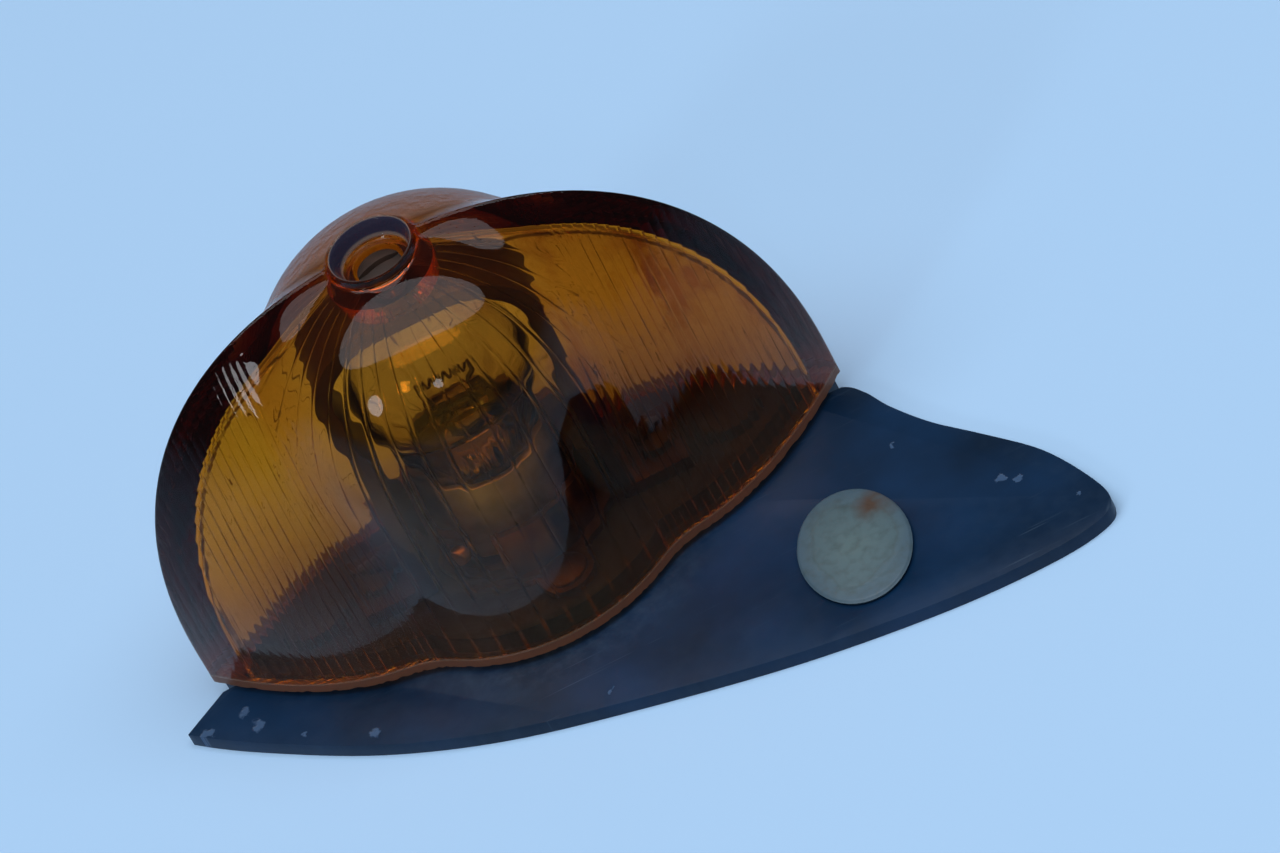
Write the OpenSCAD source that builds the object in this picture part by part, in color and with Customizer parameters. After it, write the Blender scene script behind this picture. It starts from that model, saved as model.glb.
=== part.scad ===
// Side indicator light: an amber two-winged lens on a thin painted base plate,
// with a bayonet bulb holder, a bulb and a screw bridge under the lens.
// Millimetres, Z up. The origin is on the lens screw's axis, at the plate's underside.
// X runs along the longest side. The plate sweeps out past the lens on the -Y side.

/* [Base plate] */
// Thickness of the plate's flange
flange_t = 1.6; // [1.2:0.1:2.2]
// Height of the raised platform under the lens
platform_h = 4.4; // [4.2:0.1:5]
// Wall of the platform and of its roof
platform_wall = 1.6; // [1.2:0.1:1.8]
// Gap between the platform and the inside of the lens
platform_gap = 0.7; // [0.4:0.1:1.2]
// How far the flange stays inside the lens's outline at the back
flange_inset = 0.6; // [0.3:0.1:1.2]
// How far the plate reaches out beyond the lens at its broad end
plate_reach = 18.5; // [16:0.5:22]
// How far the plate reaches out beyond the lens at its narrow end
plate_lip = 4.4; // [3.5:0.1:6]
// How far the plate reaches out on the front side
plate_front = 36; // [34:0.5:40]

/* [Hole plug] */
// Long half axis of the oval plug's head
plug_long = 8; // [6.5:0.1:9]
// Short half axis of the oval plug's head
plug_short = 5.8; // [5:0.1:6.4]
// Height of the plug's head above the plate
plug_head = 0.7; // [0.4:0.1:1.2]
// Width of the head's rim around the hole
plug_rim = 1.2; // [0.8:0.1:1.8]
// Place of the plug along X
plug_x = 29; // [27:0.5:32]
// Place of the plug along Y
plug_y = -23.5; // [-25:0.5:-21]

/* [Lens] */
// Radius of the lens's middle bullet
bullet_r = 18.3; // [17.8:0.1:19]
// Height of the dome's centre above the lens foot
dome_height = 23; // [22.5:0.25:25]
// Wall of the bullet
lens_wall = 2.6; // [2:0.1:2.8]
// Half length of the lens over its wings
wing_tip = 35; // [34:0.5:36]
// Height over which the wings' rim curves in to the top
wing_rise = 38.3; // [37:0.1:39]
// Height of the straight lower part of the wings' rim
wing_waist = 3.3; // [2.5:0.1:4]
// Roundness of the wings' rim
wing_power = 2.28; // [2:0.02:2.6]
// Half thickness of the wings where they meet the bullet
wing_half = 12.3; // [11.8:0.1:12.8]
// Distance from the axis where the wings meet the bullet
wing_root = 13.5; // [13:0.1:14]
// Roundness of the wings' cross-section
wing_section = 1.9; // [1.6:0.05:2.2]
// Depth of the solid edge outside the wings' hollow
edge_depth = 4.6; // [4:0.1:5.2]

/* [Screw recess] */
// Radius of the recess at its rim
recess_r = 4.15; // [3.9:0.05:4.4]
// Radius of the recess at its ledge
recess_floor_r = 3.3; // [3.1:0.05:3.6]
// Depth of the recess down to its ledge
recess_depth = 2.2; // [1.8:0.1:2.6]
// Width of the raised collar round the recess
collar_w = 0.55; // [0.4:0.05:1]
// Height of the collar above the dome's top
collar_rise = 0.1; // [0:0.05:0.4]
// Thickness of the lens under the screw head
seat_floor = 1.9; // [1.6:0.1:2.2]
// Width of the boss's wall around the screw head
boss_wall = 2.4; // [1.8:0.1:2.8]

/* [Lens screw] */
// Radius of the screw's thread
screw_r = 1.5; // [1.25:0.05:1.6]
// Radius of the screw's head
head_r = 2.35; // [2.2:0.05:2.6]
// Height of the screw's head
head_h = 1.6; // [1.4:0.1:1.8]
// Width of the screwdriver slot
slot_w = 0.7; // [0.5:0.1:0.9]
// Thickness of the sealing washer
washer_t = 0.4; // [0.3:0.1:0.6]

/* [Gasket] */
// Thickness of the lens gasket
gasket_t = 0.8; // [0.6:0.1:1.2]
// How far the gasket stays inside the lens's outline
gasket_inset = 0.5; // [0.3:0.1:1]

/* [Bridge] */
// Thickness of the bridge strip
bridge_t = 1.6; // [1.4:0.1:1.8]
// Width of the bridge strip
bridge_w = 8.4; // [7:0.2:9]
// Distance from the axis to the outer face of a leg
leg_x = 11.8; // [11.6:0.1:12]
// Outer radius of the bridge's shoulders
shoulder_r = 8; // [7.5:0.1:8.4]
// Length of each foot beyond its leg
foot_l = 6.2; // [6:0.1:6.6]
// Radius of the foot screws' heads
foot_head_r = 2.3; // [2:0.1:2.4]
// Height of the foot screws' heads
foot_head_h = 1.5; // [1.2:0.1:1.8]
// Radius of the foot screws' thread
foot_screw_r = 1.5; // [1.25:0.05:1.5]
// Wall of the platform's bosses around the foot screws
foot_boss_wall = 1.2; // [0.8:0.1:1.6]
// Gap between the bridge and the lens boss
bridge_gap = 0.3; // [0.2:0.1:0.6]

/* [Bulb] */
// Radius of the bulb's glass
glass_r = 9.25; // [8.8:0.05:9.4]
// Thickness of the bulb's glass
glass_wall = 0.7; // [0.5:0.1:0.9]
// Radius of the bulb's cap
cap_r = 7.5; // [7.4:0.05:7.6]
// Wall of the cap
cap_wall = 0.5; // [0.4:0.05:0.6]
// Height of the metal cap
cap_h = 9.8; // [9:0.1:10.5]
// Gap between the bulb's top and the bridge
bulb_gap = 0.7; // [0.5:0.1:1.2]
// Radius of the bayonet pins
pin_r = 0.95; // [0.8:0.05:1]
// How far the pins stand out of the cap
pin_out = 1.4; // [1.2:0.1:1.5]
// Height of the pins above the cap's lower end
pin_rise = 1.5; // [1.3:0.05:1.6]

/* [Bulb holder] */
// Wall of the holder's sleeve
sleeve_wall = 0.7; // [0.6:0.05:0.8]
// Height of the sleeve's rim above the plate's underside
sleeve_top = 10.8; // [10.7:0.1:11.2]
// Height of the sleeve's lower end above the plate's underside
sleeve_low = 1.2; // [1:0.1:1.4]
// Width of the lip turned in under the insulator
lip_w = 1; // [0.8:0.1:1.4]
// Thickness of the lip
lip_t = 0.6; // [0.5:0.05:0.7]
// Thickness of the holder's flange
ear_t = 0.8; // [0.6:0.1:1]
// Width of the flange around the sleeve
flange_w = 1.1; // [0.9:0.1:1.2]
// Gap between the sleeve and the rivets' heads
ear_gap = 0.2; // [0.15:0.05:0.3]
// Radius of the ears
ear_r = 2.8; // [2.4:0.1:3]
// Turn of the ears away from the Y axis
holder_turn = 11; // [0:1:20]
// Turn of the bayonet pins away from the X axis at rest
pin_turn = 40; // [30:1:50]
// Angle by which the bulb turns out of its lock
bayonet_turn = 18; // [14:1:22]
// Radius of the rivets' shanks
rivet_r = 1.2; // [1:0.1:1.4]
// Radius of the rivets' heads
rivet_head_r = 2.2; // [1.8:0.1:2.4]
// Height of the rivets' heads
rivet_head_h = 0.9; // [0.7:0.1:1.1]

/* [Contact] */
// Thickness of the insulating disc
insulator_t = 1.4; // [1.2:0.1:1.5]
// Room in the platform's underside around the earth tag
tag_room = 0.4; // [0.3:0.1:0.6]
// Radius of the plunger's stem
stem_r = 1.3; // [1.1:0.05:1.5]
// Radius of the plunger's head
plunger_r = 3.2; // [3:0.1:3.6]
// Thickness of the plunger's head
plunger_t = 1.2; // [1:0.1:1.3]
// Length of the contact spring at rest
spring_l = 1.4; // [1.3:0.05:1.5]
// Radius of the spring's wire
spring_wire = 0.16; // [0.12:0.01:0.2]
// Travel of the plunger
plunger_travel = 1; // [0.8:0.05:1]

/* [Mounting] */
// Distance from the axis to each threaded mounting hole
mount_x = 22.4; // [22:0.1:23]
// Radius of the mounting holes, for an M4 thread
mount_r = 1.65; // [1.5:0.05:1.7]
// Depth of the mounting holes
mount_depth = 4.5; // [4:0.25:5.5]
// Wall of the bosses around the mounting holes
mount_wall = 1.55; // [1.3:0.05:1.6]
// Thickness over the end of the mounting holes
mount_cover = 1.3; // [1:0.1:1.6]

/* [Fits] */
// Radial clearance where one piece turns or slides in another
running_fit = 0.08; // [0.04:0.01:0.1]
// Radial clearance where one fixed piece sits in another
seat_fit = 0.05; // [0.03:0.01:0.1]
// Clearance around the screw's head and shank in the lens
screw_gap = 0.25; // [0.2:0.05:0.4]

/* [Hidden] */
$fn = 64;
// Overlap that makes a cut clean
cut = 0.1;

// Height of the lens foot
foot_z = flange_t + gasket_t;
// Underside of the platform's roof, and the thickness of the tag under it
roof_z = platform_h - platform_wall;
tag_t = 0.4;

// Heights of the lens
dome_z = foot_z + dome_height;
rim_z = dome_z + bullet_r + collar_rise;
ledge_z = rim_z - recess_depth;
collar_r = recess_r + collar_w;
head_hole_r = head_r + screw_gap;
// How far the head's middle stands above the ledge
head_proud = 0.1;
seat_z = ledge_z + head_proud - head_h - washer_t;
boss_z = seat_z - seat_floor;
boss_r = head_hole_r + boss_wall;

// Heights of the bridge and the bulb
bridge_top = boss_z - bridge_gap;
bridge_low = bridge_top - bridge_t;
foot_top = platform_h + bridge_t;
// Strip left between a foot screw's head and the end of the foot
foot_margin = 0.5;
foot_screw_x = leg_x + foot_l - foot_head_r - foot_margin;
// Lower ends of the foot screws' holes and of their threads
foot_hole_z = sleeve_low + 0.4;
foot_screw_z = foot_hole_z + 0.2;
bulb_top = bridge_low - bulb_gap;
glass_z = bulb_top - glass_r;

// Heights of the holder's inner pieces
insulator_z = sleeve_low + lip_t;
insulator_top = insulator_z + insulator_t;
plunger_z = insulator_top + spring_l;
contact_z = plunger_z + plunger_t;
contact_h = 0.6;
vitrite_z = contact_z + contact_h;
vitrite_h = 0.8;
cap_z = vitrite_z + vitrite_h;
pin_z = cap_z + pin_rise;
sleeve_r = cap_r + running_fit;
sleeve_out = sleeve_r + sleeve_wall;
flange_r = sleeve_out + flange_w;
ear_y = sleeve_out + ear_gap + rivet_head_r;
cap_top = cap_z + cap_h;
// Radius of the hole in the cap's lower end
cap_hole_r = cap_r - 2.2;
// How deep the glass neck sits in the cap, and its radius
neck_depth = 1.6;
neck_r = cap_r - cap_wall - seat_fit;
// Collar under the insulating disc that keeps the plunger in
collar_h = 0.4;

// How much further the sharp wing tips move in than the sides of an outline do
tip_share = 1.5;

// Where the outline of the wings is sampled
rim_steps = 22;
section_steps = 7;
// Points round the oval plug
oval_steps = 48;
// Radius of the lens's hollow
hollow_r = bullet_r - lens_wall;
hollow_half = wing_half - lens_wall;
hollow_root = wing_root - 0.8 * lens_wall;

// A point on the wings' rim at angle t, seen from the front: 0 is the tip, 90 the top
function rim_point(t, tip, rise) = [
    tip * pow(cos(t), 2 / wing_power),
    wing_waist + rise * pow(sin(t), 2 / wing_power)];

// The rim's outward normal at that point
function rim_normal(t, tip, rise) =
    let (c = pow(max(cos(t), 1e-6), 2 - 2 / wing_power) / tip,
         s = pow(max(sin(t), 1e-6), 2 - 2 / wing_power) / rise,
         l = norm([c, s]))
    [c / l, s / l];

// The same point moved inwards by d, square to the rim
function inset_rim(t, tip, rise, d) =
    rim_point(t, tip, rise) - d * rim_normal(t, tip, rise);

// Half of the wings' outline at one depth, from the tip up to the top
function half_outline(tip, rise, d) = [
    for (k = [0 : rim_steps]) inset_rim(90 * k / rim_steps, tip, rise, d)];

// How far the wings' surface lies inside the rim where they are v thick
function wing_inset(v, tip, half, root) =
    (tip - root) * (1 - pow(1 - v / half, 1 / wing_section));

// Outline of the wing pair in plan: two pointed ends, and straight across the middle
function plan_points(tip, half, root) = [
    for (sx = [1, -1], k = [-section_steps : section_steps])
        let (v = half * k / section_steps * sx)
        [sx * (tip - wing_inset(abs(v), tip, half, root)), v]];

// Smooth curve through a list of points, as a Catmull-Rom spline
function spline(a, b, c, d, t) =
    0.5 * (2 * b + (c - a) * t + (2 * a - 5 * b + 4 * c - d) * t * t
        + (3 * b - a - 3 * c + d) * t * t * t);
function smooth(p, steps) = [
    for (i = [1 : len(p) - 3], k = [0 : steps - 1])
        spline(p[i - 1], p[i], p[i + 1], p[i + 2], k / steps)];

// The plate's free outline, from the narrow tip along the front to the broad end.
// The first and the last point only steer the curve.
reach_x = wing_tip + plate_reach;
plate_edge = [
    [-wing_tip - plate_lip - 1.1, -2.5], [-wing_tip - plate_lip, -4.6],
    [-wing_tip + 2, -10.3], [-22, -18.3], [-10, -24.4],
    [4, -29], [20, -plate_front + 2.8], [35, -plate_front + 0.4], [reach_x - 7.5, -plate_front],
    [reach_x - 1.7, -35], [reach_x, -33], [reach_x - 0.9, -29], [reach_x - 3.9, -22.6],
    [wing_tip + 10, -16.7], [wing_tip + 6, -11.9], [wing_tip + 3, -7.2],
    [wing_tip + 1.3, -3.6], [wing_tip - 0.6, -1.4], [wing_tip - 5, 0]];

module plan_shape(tip, half, root, r) {
    circle(r, $fn = 96);
    polygon(plan_points(tip, half, root));
}

module base_plate() {
    color("#1c2e42") difference() {
        union() {
            linear_extrude(flange_t) {
                polygon(concat(smooth(plate_edge, 8),
                    [[wing_tip - 0.6, -1.4], [0, 0], [-wing_tip + 0.4, -1.2]]));
                plan_shape(wing_tip - tip_share * flange_inset, wing_half - flange_inset,
                    wing_root, bullet_r - flange_inset);
            }
            linear_extrude(platform_h) platform_plan(0);
            for (s = [-1, 1]) translate([s * mount_x, 0, 0])
                cylinder(r = mount_r + mount_wall, h = mount_depth + mount_cover);
        }
        difference() {
            translate([0, 0, -cut]) linear_extrude(platform_h - platform_wall + cut)
                platform_plan(platform_wall);
            for (s = [-1, 1]) {
                translate([s * mount_x, 0, -2 * cut])
                    cylinder(r = mount_r + mount_wall, h = platform_h);
                translate([s * foot_screw_x, 0, sleeve_low])
                    cylinder(r = foot_screw_r + foot_boss_wall, h = platform_h);
            }
        }
        translate([0, 0, -cut]) linear_extrude(roof_z + cut) tag_plan(tag_room);
        for (s = [-1, 1]) {
            translate([s * mount_x, 0, -cut]) cylinder(r = mount_r, h = mount_depth + cut);
            translate([s * foot_screw_x, 0, foot_hole_z])
                cylinder(r = foot_screw_r + seat_fit, h = platform_h);
            rotate([0, 0, holder_turn]) translate([0, s * ear_y, -cut])
                cylinder(r = rivet_r + seat_fit, h = platform_h + 2 * cut);
        }
        translate([0, 0, -cut]) cylinder(r = sleeve_out + seat_fit, h = platform_h + 2 * cut);
        translate([plug_x, plug_y, -cut])
            linear_extrude(flange_t + 2 * cut)
                oval(plug_long - plug_rim + seat_fit, plug_short - plug_rim + seat_fit);
    }
}

// Plan of the platform, with d taken off all round
module platform_plan(d) {
    plan_shape(wing_tip - edge_depth - tip_share * (platform_gap + d),
        hollow_half - platform_gap - d, hollow_root, hollow_r - platform_gap - d);
}

// An ellipse with its long side along Y
module oval(long, short) {
    polygon([for (k = [0 : oval_steps - 1])
        let (a = 360 * k / oval_steps) [short * cos(a), long * sin(a)]]);
}

module hole_plug() {
    color("#8f9c92") translate([plug_x, plug_y, 0]) {
        linear_extrude(flange_t) oval(plug_long - plug_rim, plug_short - plug_rim);
        translate([0, 0, flange_t]) linear_extrude(plug_head) oval(plug_long, plug_short);
    }
}

module lens_gasket() {
    color("#15171a") translate([0, 0, flange_t]) linear_extrude(gasket_t) difference() {
        inset = gasket_inset + flange_inset;
        plan_shape(wing_tip - tip_share * inset, wing_half - inset, wing_root, bullet_r - inset);
        platform_plan(-seat_fit);
    }
}

// Both wings as one body: outlines at several depths, with a straight skin between them
module wing_pair(tip, rise, half, root, low) {
    hull() for (k = [-section_steps : section_steps]) {
        v = half * k / section_steps;
        side = half_outline(tip, rise, wing_inset(abs(v), tip, half, root));
        left = [for (i = [rim_steps : -1 : 0]) [-side[i][0], side[i][1]]];
        translate([0, v, 0]) rotate([90, 0, 0]) linear_extrude(0.002, center = true)
            polygon(concat([[side[0][0], low]], side, left, [[-side[0][0], low]]));
    }
}

module lens() {
    color("#b06a12", 0.85) translate([0, 0, foot_z]) difference() {
        union() {
            cylinder(r = bullet_r, h = dome_height, $fn = 96);
            translate([0, 0, dome_height]) sphere(bullet_r, $fn = 96);
            wing_pair(wing_tip, wing_rise, wing_half, wing_root, 0);
            translate([0, 0, dome_height + bullet_r - 3])
                cylinder(r = collar_r, h = 3 + collar_rise);
        }
        difference() {
            union() {
                translate([0, 0, -cut]) cylinder(r = hollow_r, h = dome_height + cut, $fn = 96);
                translate([0, 0, dome_height]) sphere(hollow_r, $fn = 96);
                wing_pair(wing_tip - edge_depth, wing_rise - edge_depth, hollow_half,
                    hollow_root, -cut);
            }
            translate([0, 0, boss_z - foot_z]) cylinder(r = boss_r, h = bullet_r);
        }
        translate([0, 0, ledge_z - foot_z])
            cylinder(r1 = recess_floor_r, r2 = recess_r, h = recess_depth);
        translate([0, 0, rim_z - foot_z - cut / 2]) cylinder(r = recess_r, h = recess_depth);
        translate([0, 0, seat_z - foot_z]) cylinder(r = head_hole_r, h = ledge_z - seat_z + cut);
        translate([0, 0, boss_z - foot_z - cut])
            cylinder(r = screw_r + screw_gap, h = seat_floor + 2 * cut);
    }
}

// A slotted screw or rivet head, slightly domed, standing on z = 0
module domed_head(r, h) {
    dome_r = 2.2 * r;
    intersection() {
        cylinder(r = r, h = h);
        translate([0, 0, h - dome_r]) sphere(dome_r);
    }
}

module lens_screw() {
    color("#5a4238") translate([0, 0, seat_z + washer_t]) {
        difference() {
            domed_head(head_r, head_h);
            translate([0, 0, head_h]) rotate([0, 0, holder_turn])
                cube([3 * head_r, slot_w, head_h], center = true);
        }
        translate([0, 0, bridge_low + cut - seat_z - washer_t])
            cylinder(r = screw_r, h = seat_z + washer_t - bridge_low - cut);
    }
}

module screw_washer() {
    color("#2a2624") translate([0, 0, seat_z]) difference() {
        cylinder(r = head_r, h = washer_t);
        translate([0, 0, -cut]) cylinder(r = screw_r + seat_fit, h = washer_t + 2 * cut);
    }
}

// Side view of the bridge: an arch of radius r over legs that reach out to x
module arch(x, r, top) {
    translate([-x, 0]) square([2 * x, top - r]);
    translate([-x + r, 0]) square([2 * (x - r), top]);
    for (s = [-1, 1]) translate([s * (x - r), top - r]) circle(r, $fn = 96);
}

module bridge_bracket() {
    inner_x = leg_x - bridge_t;
    color("#3a3532") difference() {
        rotate([90, 0, 0]) linear_extrude(bridge_w, center = true) difference() {
            translate([0, platform_h]) {
                arch(leg_x, shoulder_r, bridge_top - platform_h);
                translate([-leg_x - foot_l, 0]) square([2 * (leg_x + foot_l), bridge_t]);
            }
            translate([0, platform_h - cut])
                arch(inner_x, shoulder_r - bridge_t, bridge_low - platform_h + cut);
        }
        translate([0, 0, bridge_low - cut])
            cylinder(r = screw_r + seat_fit, h = bridge_t + 2 * cut);
        for (s = [-1, 1]) translate([s * foot_screw_x, 0, platform_h - cut])
            cylinder(r = foot_screw_r + seat_fit, h = bridge_t + 2 * cut);
    }
}

module bridge_screws() {
    color("#6b625a") for (s = [-1, 1]) translate([s * foot_screw_x, 0, 0]) {
        translate([0, 0, foot_screw_z]) cylinder(r = foot_screw_r, h = foot_top - foot_screw_z);
        translate([0, 0, foot_top]) difference() {
            domed_head(foot_head_r, foot_head_h);
            translate([0, 0, foot_head_h]) rotate([0, 0, 25 * s])
                cube([3 * foot_head_r, slot_w, foot_head_h], center = true);
        }
    }
}

// A cut through the sleeve's wall over an angle, from one height up to another
module wall_cut(from, to, low, high) {
    beyond = 1;
    translate([0, 0, low]) rotate([0, 0, from]) rotate_extrude(angle = to - from)
        translate([sleeve_r - beyond, 0]) square([sleeve_wall + 2 * beyond, high - low]);
}

// A bayonet window: the slot in which a pin turns, and a wider way in from the rim
module bayonet_window() {
    half = asin(pin_r / cap_r) + 1.5;
    entry = half + 1;
    low = pin_z - pin_r - plunger_travel - cut;
    out = pin_turn + bayonet_turn;
    wall_cut(pin_turn - half, out + half, low, pin_z + pin_r + cut);
    wall_cut(out - entry, out + entry, low - cut, sleeve_top + cut);
}

module holder_shell() {
    color("#b9a66a") difference() {
        union() {
            translate([0, 0, sleeve_low]) cylinder(r = sleeve_out, h = sleeve_top - sleeve_low);
            translate([0, 0, platform_h]) cylinder(r = flange_r, h = ear_t);
            rotate([0, 0, holder_turn]) {
                translate([-ear_r, -ear_y, platform_h]) cube([2 * ear_r, 2 * ear_y, ear_t]);
                for (s = [-1, 1]) translate([0, s * ear_y, platform_h])
                    cylinder(r = ear_r, h = ear_t);
            }
        }
        translate([0, 0, insulator_z]) cylinder(r = sleeve_r, h = sleeve_top);
        cylinder(r = sleeve_r - lip_w, h = sleeve_top);
        for (a = [0, 180]) rotate([0, 0, a]) bayonet_window();
        for (s = [-1, 1]) rotate([0, 0, holder_turn]) translate([0, s * ear_y, platform_h - cut])
            cylinder(r = rivet_r + seat_fit, h = ear_t + 2 * cut);
    }
}

module holder_insulator() {
    color("#6a3b22") translate([0, 0, insulator_z]) difference() {
        cylinder(r = sleeve_r - seat_fit, h = insulator_t);
        translate([0, 0, -cut]) cylinder(r = stem_r + running_fit, h = insulator_t + 2 * cut);
    }
}

module holder_rivets() {
    tail_h = 0.8;
    tail_r = 0.8 * rivet_head_r;
    tail_z = roof_z - tag_t - tail_h;
    color("#b8923e") rotate([0, 0, holder_turn]) for (s = [-1, 1]) translate([0, s * ear_y, 0]) {
        translate([0, 0, tail_z]) cylinder(r = tail_r, h = tail_h);
        translate([0, 0, tail_z]) cylinder(r = rivet_r, h = platform_h + ear_t - tail_z);
        translate([0, 0, platform_h + ear_t]) domed_head(rivet_head_r, rivet_head_h);
    }
}

// Plan of the solder tag under the front rivet and of the plain washer under the rear
// one, with room all round
module tag_plan(room) {
    reach = 2.45 * rivet_head_r;
    half_w = 0.45 * rivet_head_r;
    rotate([0, 0, holder_turn]) {
        for (s = [-1, 1]) translate([0, s * ear_y]) circle(rivet_head_r + room);
        translate([0, -ear_y - half_w - room]) square([reach, 2 * (half_w + room)]);
        translate([reach, -ear_y]) circle(half_w + room);
    }
}

module earth_tag() {
    eye_r = 0.22 * rivet_head_r;
    color("#c2a04c") translate([0, 0, roof_z - tag_t]) difference() {
        linear_extrude(tag_t) tag_plan(0);
        rotate([0, 0, holder_turn]) {
            for (s = [-1, 1]) translate([0, s * ear_y, -cut])
                cylinder(r = rivet_r + seat_fit, h = tag_t + 2 * cut);
            translate([2.45 * rivet_head_r, -ear_y, -cut]) cylinder(r = eye_r, h = tag_t + 2 * cut);
        }
    }
}

module contact_plunger() {
    collar_z = insulator_z - collar_h;
    color("#c9a24a") {
        translate([0, 0, plunger_z]) cylinder(r = plunger_r, h = plunger_t);
        translate([0, 0, collar_z]) cylinder(r = stem_r, h = plunger_z - collar_z + cut);
        translate([0, 0, collar_z]) cylinder(r = 1.5 * stem_r, h = collar_h);
    }
}

// Solder tag on the lower end of the plunger
module contact_tag() {
    thick = 0.3;
    reach = 1.45 * plunger_r;
    half_w = 0.28 * plunger_r;
    eye_r = half_w / 2;
    low = insulator_z - collar_h - thick;
    color("#cdb267") translate([0, 0, low]) difference() {
        union() {
            cylinder(r = 1.85 * stem_r, h = thick);
            translate([0, -half_w, 0]) cube([reach, 2 * half_w, thick]);
            translate([reach, 0, 0]) cylinder(r = half_w, h = thick);
        }
        translate([reach, 0, -cut]) cylinder(r = eye_r, h = thick + 2 * cut);
    }
}

// Skin of a tube of radius r along a list of points p, with n sides.
// The tube never runs along the direction side, which sets where its sides start.
function unit(v) = v / norm(v);
function tube_points(p, r, n, side) = [
    for (i = [0 : len(p) - 1])
        let (d = unit(p[min(i + 1, len(p) - 1)] - p[max(i - 1, 0)]),
             a = unit(cross(d, side)),
             b = cross(d, a))
        for (k = [0 : n - 1]) p[i] + r * (cos(360 * k / n) * a + sin(360 * k / n) * b)];
function tube_faces(m, n) = concat(
    [for (i = [0 : m - 2], k = [0 : n - 1])
        [i * n + k, i * n + (k + 1) % n, (i + 1) * n + (k + 1) % n]],
    [for (i = [0 : m - 2], k = [0 : n - 1])
        [i * n + k, (i + 1) * n + (k + 1) % n, (i + 1) * n + k]],
    [[for (k = [n - 1 : -1 : 0]) k]],
    [[for (k = [0 : n - 1]) (m - 1) * n + k]]);
module tube(p, r, n, side) {
    polyhedron(tube_points(p, r, n, side), tube_faces(len(p), n));
}

module contact_spring() {
    turns = 2.5;
    steps = 30;
    wide = plunger_r - 0.4;
    narrow = stem_r + 0.6;
    rise = spring_l - 2 * spring_wire;
    coil = [for (i = [0 : steps])
        let (t = i / steps, r = wide + (narrow - wide) * t, a = 360 * turns * t)
        [r * cos(a), r * sin(a), insulator_top + spring_wire + rise * t]];
    color("#9a9fa3") tube(coil, spring_wire, 8, [0, 0, 1]);
}

// The glass with d taken off all round: a neck that widens in a cone into the ball
module glass_body(d) {
    neck_z = cap_top - neck_depth;
    cone_z = cap_top + 0.1;
    cone_top = glass_z - 2;
    cone_r = 0.975 * glass_r - d;
    intersection() {
        translate([0, 0, glass_z]) sphere(glass_r - d, $fn = 96);
        translate([-glass_r, -glass_r, cone_top]) cube([2 * glass_r, 2 * glass_r, 3 * glass_r]);
    }
    translate([0, 0, neck_z - d]) cylinder(r = neck_r - d, h = cone_z + cut - neck_z + d);
    translate([0, 0, cone_z])
        cylinder(r1 = neck_r - d, r2 = cone_r, h = cone_top - cone_z + 0.1);
    translate([0, 0, cone_top]) cylinder(r = cone_r, h = glass_z - cone_top);
}

module bulb_glass() {
    color("#d8e2e6", 0.4) difference() {
        glass_body(0);
        glass_body(glass_wall);
    }
}

module bulb_cap() {
    chamfer = 0.5;
    inner_r = cap_r - cap_wall;
    color("#a9a08a") rotate_extrude() polygon([
        [cap_hole_r, cap_z], [cap_r - chamfer, cap_z], [cap_r, cap_z + chamfer],
        [cap_r, cap_top], [inner_r, cap_top], [inner_r, cap_z + 1.6 * chamfer],
        [cap_hole_r, cap_z + chamfer]]);
}

module bulb_pins() {
    color("#b7ab8a") for (a = [0, 180]) rotate([0, 0, pin_turn + a])
        translate([cap_r, 0, pin_z]) rotate([0, 90, 0]) cylinder(r = pin_r, h = pin_out);
}

module bulb_insulator() {
    color("#17161a") translate([0, 0, vitrite_z]) {
        cylinder(r1 = plunger_r + 0.4, r2 = cap_hole_r, h = vitrite_h);
        translate([0, 0, vitrite_h]) cylinder(r = cap_hole_r, h = 0.5);
    }
}

module bulb_contact() {
    color("#9b9b98") translate([0, 0, contact_z]) cylinder(r1 = 1.8, r2 = 2.4, h = contact_h);
}

// Where the filament hangs
filament_z = glass_z - 1;
filament_x = 0.31 * glass_r;
coil_r = 0.42;
coil_wire = 0.11;
support_wire = 0.25;

// Heights of the stem: the disc that closes the neck, the flare, the tube and the pinch
stem_z = cap_top - neck_depth;
flare_z = stem_z + glass_wall;
pinch_top = filament_z - 0.35 * (filament_z - cap_top);
pinch_z = pinch_top - 0.4 * (pinch_top - cap_top);
tube_z = flare_z + 0.6 * (pinch_z - flare_z);
tube_r = 0.27 * cap_r;
flare_r = 0.6 * neck_r;

module bulb_stem() {
    color("#cfd8da", 0.6) {
        translate([0, 0, stem_z]) cylinder(r = neck_r - glass_wall, h = glass_wall + cut);
        translate([0, 0, flare_z]) cylinder(r1 = flare_r, r2 = tube_r, h = tube_z - flare_z);
        translate([0, 0, tube_z]) cylinder(r = tube_r, h = pinch_z + cut - tube_z);
        translate([-1.5 * tube_r, -0.45 * tube_r, pinch_z])
            cube([3 * tube_r, 0.9 * tube_r, pinch_top - pinch_z]);
    }
}

module bulb_supports() {
    rest = filament_z - pinch_top;
    color("#8d8f92") for (s = [-1, 1]) tube([
        [s * tube_r, 0, pinch_top], [s * tube_r, 0, pinch_top + 0.25 * rest],
        [s * filament_x, 0, pinch_top + 0.7 * rest],
        [s * filament_x, 0, filament_z + coil_r]], support_wire, 8, [0, 1, 0]);
}

module bulb_filament() {
    turns = 9;
    per_turn = 8;
    n = turns * per_turn;
    span = filament_x - support_wire - coil_wire;
    coil = [for (i = [0 : n])
        let (t = i / n, a = 360 * i / per_turn)
        [-span + 2 * span * t, coil_r * cos(a), filament_z + coil_r * sin(a)]];
    color("#c8c2b4") tube(coil, coil_wire, 6, [1, 0, 0]);
}

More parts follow.
